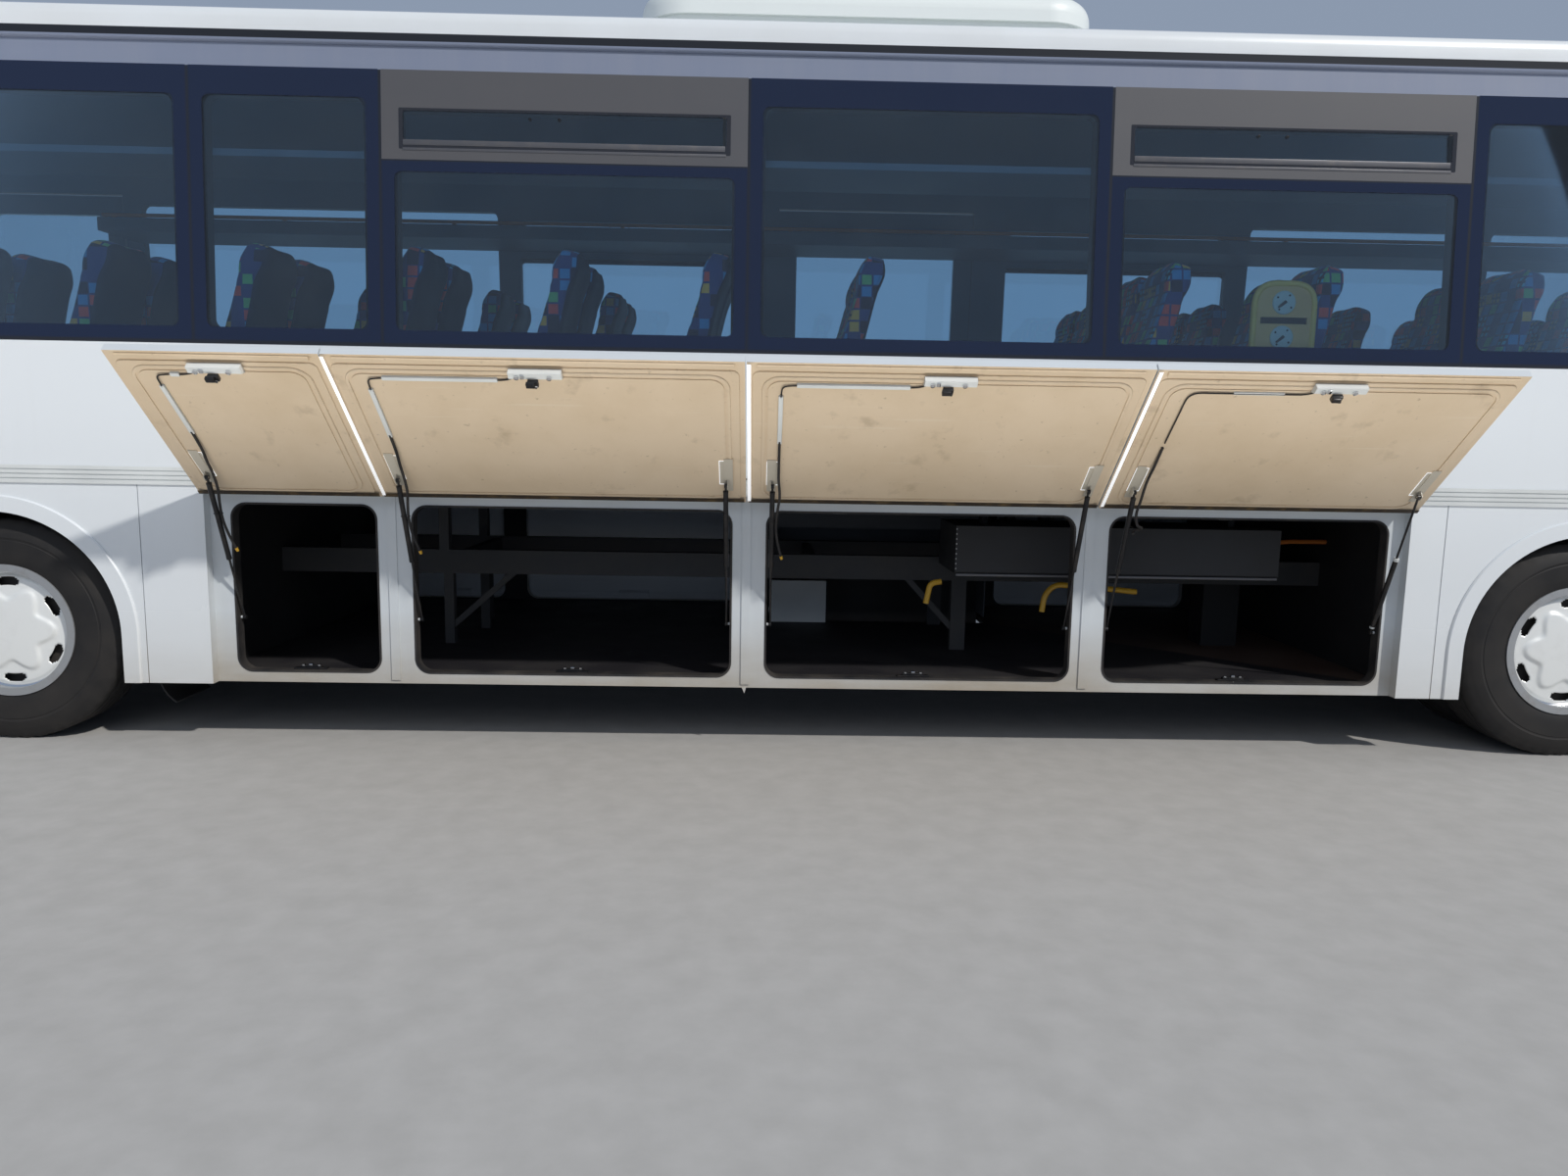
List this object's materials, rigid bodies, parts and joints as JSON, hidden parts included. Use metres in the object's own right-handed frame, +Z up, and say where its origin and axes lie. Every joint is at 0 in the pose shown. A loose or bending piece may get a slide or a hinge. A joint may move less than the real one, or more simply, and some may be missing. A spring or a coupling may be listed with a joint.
{
  "type": "coach bus",
  "caption": "Single-deck intercity coach with side luggage bays open, bonded side windows, roof cooling unit and twin rear wheels.",
  "frame": {"origin": "on the ground, on the centreline, midway along the body's length", "axes": "+X forward, +Y to the vehicle's left, +Z up; metres"},
  "size_m": [13.32, 3.4677, 3.5],
  "materials": {
    "black_rubber": "matte",
    "chassis_black": "matte",
    "floor_cover": "matte",
    "body_white": "gloss",
    "dark_plastic": "matte",
    "engine_iron": "matte",
    "tinted_glass": "gloss",
    "wheel_steel": "satin",
    "tyre": "worn",
    "lamp_clear": "gloss",
    "door_cream": "painted",
    "strut_steel": "gloss",
    "mirror_black": "gloss",
    "seat_fabric": "woven",
    "backrest_yellow": "satin",
    "window_metal": "satin"
  },
  "bodies": {
    "coach_body": {"air_springs": "black_rubber", "bay_fittings": "chassis_black", "bay_floor": "floor_cover", "bumpers": "body_white", "cabin_floor": "floor_cover", "chassis_frame": "chassis_black", "dashboard": "dark_plastic", "engine": "engine_iron", "front_axle": "chassis_black", "front_face": "body_white", "lamps": "lamp_clear", "left_bay_seals": "black_rubber", "left_side_wall": "body_white", "luggage_racks": "dark_plastic", "middle_door": "body_white", "mirrors": "mirror_black", "rear_axle": "chassis_black", "rear_face": "body_white", "rear_window": "tinted_glass", "right_side_wall": "body_white", "roof": "body_white", "roof_cooler": "body_white", "seat_cushions": "seat_fabric", "seat_frames": "chassis_black", "side_windows": "tinted_glass", "wheel_housings": "dark_plastic", "wheelchair_backrest": "backrest_yellow", "window_heads": "window_metal", "windscreen": "tinted_glass"},
    "front_left_wheel": {"front_left_tyre": "tyre", "front_left_rim": "wheel_steel"},
    "front_right_wheel": {"front_right_tyre": "tyre", "front_right_rim": "wheel_steel"},
    "rear_left_wheel": {"rear_left_tyres": "tyre", "rear_left_rims": "wheel_steel"},
    "rear_right_wheel": {"rear_right_tyres": "tyre", "rear_right_rims": "wheel_steel"},
    "left_steering_knuckle": {"left_knuckle": "chassis_black"},
    "right_steering_knuckle": {"right_knuckle": "chassis_black"},
    "steering_wheel": {"steering_wheel": "dark_plastic"},
    "left_bay_door_1": {"left_bay_door_1": "door_cream"},
    "left_strut_tops_1": {"left_strut_tops_1": "strut_steel"},
    "left_strut_bottoms_1": {"left_strut_bottoms_1": "strut_steel"},
    "left_bay_door_2": {"left_bay_door_2": "door_cream"},
    "left_strut_tops_2": {"left_strut_tops_2": "strut_steel"},
    "left_strut_bottoms_2": {"left_strut_bottoms_2": "strut_steel"},
    "left_bay_door_3": {"left_bay_door_3": "door_cream"},
    "left_strut_tops_3": {"left_strut_tops_3": "strut_steel"},
    "left_strut_bottoms_3": {"left_strut_bottoms_3": "strut_steel"},
    "left_bay_door_4": {"left_bay_door_4": "door_cream"},
    "left_strut_tops_4": {"left_strut_tops_4": "strut_steel"},
    "left_strut_bottoms_4": {"left_strut_bottoms_4": "strut_steel"},
    "right_bay_door_1": {"right_bay_door_1": "door_cream"},
    "right_bay_door_2": {"right_bay_door_2": "door_cream"},
    "right_bay_door_4": {"right_bay_door_4": "door_cream"},
    "front_door_arms": {"front_door_arms": "body_white"},
    "front_door": {"front_door": "body_white", "front_door_windows": "tinted_glass"},
    "engine_lid": {"engine_lid": "body_white"}
  },
  "joints": [
    {"name": "left_steering", "type": "hinge", "parent": "coach_body", "child": "left_steering_knuckle", "pos_m": [3.88, 0.925, 0.51], "axis": [0, 0, 1], "range_deg": [-38, 38]},
    {"name": "front_left_roll", "type": "hinge", "parent": "left_steering_knuckle", "child": "front_left_wheel", "pos_m": [3.88, 1.09, 0.51], "axis": [0, 1, 0], "continuous": true},
    {"name": "rear_left_roll", "type": "hinge", "parent": "coach_body", "child": "rear_left_wheel", "pos_m": [-3.32, 1.09, 0.51], "axis": [0, 1, 0], "continuous": true},
    {"name": "right_steering", "type": "hinge", "parent": "coach_body", "child": "right_steering_knuckle", "pos_m": [3.88, -0.925, 0.51], "axis": [0, 0, 1], "range_deg": [-38, 38]},
    {"name": "front_right_roll", "type": "hinge", "parent": "right_steering_knuckle", "child": "front_right_wheel", "pos_m": [3.88, -1.09, 0.51], "axis": [0, 1, 0], "continuous": true},
    {"name": "rear_right_roll", "type": "hinge", "parent": "coach_body", "child": "rear_right_wheel", "pos_m": [-3.32, -1.09, 0.51], "axis": [0, 1, 0], "continuous": true},
    {"name": "steering_wheel_turn", "type": "hinge", "parent": "coach_body", "child": "steering_wheel", "pos_m": [5.42, 0.6, 1.76], "axis": [-0.5, 0, 0.866], "range_deg": [-608, 608]},
    {"name": "left_bay_door_1_hinge", "type": "hinge", "parent": "coach_body", "child": "left_bay_door_1", "pos_m": [0, 1.2803, 1.173], "axis": [-1, 0, 0], "range_deg": [0, 130.8]},
    {"name": "left_strut_pivot_1", "type": "hinge", "parent": "left_bay_door_1", "child": "left_strut_tops_1", "pos_m": [0, 1.45819, 1.22708], "axis": [1, 0, 0], "range_deg": [-1, 151.98]},
    {"name": "left_strut_slide_1", "type": "slide", "parent": "left_strut_tops_1", "child": "left_strut_bottoms_1", "axis": [0, 0.3889, 0.9213], "range_m": [-0.001, 0.27991]},
    {"name": "left_bay_door_2_hinge", "type": "hinge", "parent": "coach_body", "child": "left_bay_door_2", "pos_m": [0, 1.2803, 1.173], "axis": [-1, 0, 0], "range_deg": [0, 130.8]},
    {"name": "left_strut_pivot_2", "type": "hinge", "parent": "left_bay_door_2", "child": "left_strut_tops_2", "pos_m": [0, 1.45819, 1.22708], "axis": [1, 0, 0], "range_deg": [-1, 151.98]},
    {"name": "left_strut_slide_2", "type": "slide", "parent": "left_strut_tops_2", "child": "left_strut_bottoms_2", "axis": [0, 0.3889, 0.9213], "range_m": [-0.001, 0.27991]},
    {"name": "left_bay_door_3_hinge", "type": "hinge", "parent": "coach_body", "child": "left_bay_door_3", "pos_m": [0, 1.2803, 1.173], "axis": [-1, 0, 0], "range_deg": [0, 130.8]},
    {"name": "left_strut_pivot_3", "type": "hinge", "parent": "left_bay_door_3", "child": "left_strut_tops_3", "pos_m": [0, 1.45819, 1.22708], "axis": [1, 0, 0], "range_deg": [-1, 151.98]},
    {"name": "left_strut_slide_3", "type": "slide", "parent": "left_strut_tops_3", "child": "left_strut_bottoms_3", "axis": [0, 0.3889, 0.9213], "range_m": [-0.001, 0.27991]},
    {"name": "left_bay_door_4_hinge", "type": "hinge", "parent": "coach_body", "child": "left_bay_door_4", "pos_m": [0, 1.2803, 1.173], "axis": [-1, 0, 0], "range_deg": [0, 130.8]},
    {"name": "left_strut_pivot_4", "type": "hinge", "parent": "left_bay_door_4", "child": "left_strut_tops_4", "pos_m": [0, 1.45819, 1.22708], "axis": [1, 0, 0], "range_deg": [-1, 151.98]},
    {"name": "left_strut_slide_4", "type": "slide", "parent": "left_strut_tops_4", "child": "left_strut_bottoms_4", "axis": [0, 0.3889, 0.9213], "range_m": [-0.001, 0.27991]},
    {"name": "right_bay_door_1_hinge", "type": "hinge", "parent": "coach_body", "child": "right_bay_door_1", "pos_m": [0, -1.2803, 1.173], "axis": [-1, 0, 0], "range_deg": [0, 130.8]},
    {"name": "right_bay_door_2_hinge", "type": "hinge", "parent": "coach_body", "child": "right_bay_door_2", "pos_m": [0, -1.2803, 1.173], "axis": [-1, 0, 0], "range_deg": [0, 130.8]},
    {"name": "right_bay_door_4_hinge", "type": "hinge", "parent": "coach_body", "child": "right_bay_door_4", "pos_m": [0, -1.2803, 1.173], "axis": [-1, 0, 0], "range_deg": [0, 130.8]},
    {"name": "front_door_swing", "type": "hinge", "parent": "coach_body", "child": "front_door_arms", "pos_m": [5.505, -1.19, 1.6], "axis": [0, 0, 1], "range_deg": [0, 162.5]},
    {"name": "front_door_follow", "type": "hinge", "parent": "front_door_arms", "child": "front_door", "pos_m": [5.025, -1.205, 1.6], "axis": [0, 0, 1], "range_deg": [-162.5, 0]},
    {"name": "engine_lid_hinge", "type": "hinge", "parent": "coach_body", "child": "engine_lid", "pos_m": [-6.6, 0, 1.56], "axis": [0, 1, 0], "range_deg": [0, 70]}
  ],
  "couplings": [
    {"joint": "right_steering", "follows": "left_steering", "ratio": 1},
    {"joint": "steering_wheel_turn", "follows": "left_steering", "ratio": 16},
    {"joint": "left_strut_pivot_1", "follows": "left_bay_door_1_hinge", "ratio": 1.1543},
    {"joint": "left_strut_slide_1", "follows": "left_bay_door_1_hinge", "m_per_rad": 0.12218},
    {"joint": "left_strut_pivot_2", "follows": "left_bay_door_2_hinge", "ratio": 1.1543},
    {"joint": "left_strut_slide_2", "follows": "left_bay_door_2_hinge", "m_per_rad": 0.12218},
    {"joint": "left_strut_pivot_3", "follows": "left_bay_door_3_hinge", "ratio": 1.1543},
    {"joint": "left_strut_slide_3", "follows": "left_bay_door_3_hinge", "m_per_rad": 0.12218},
    {"joint": "left_strut_pivot_4", "follows": "left_bay_door_4_hinge", "ratio": 1.1543},
    {"joint": "left_strut_slide_4", "follows": "left_bay_door_4_hinge", "m_per_rad": 0.12218},
    {"joint": "front_door_follow", "follows": "front_door_swing", "ratio": -1}
  ]
}
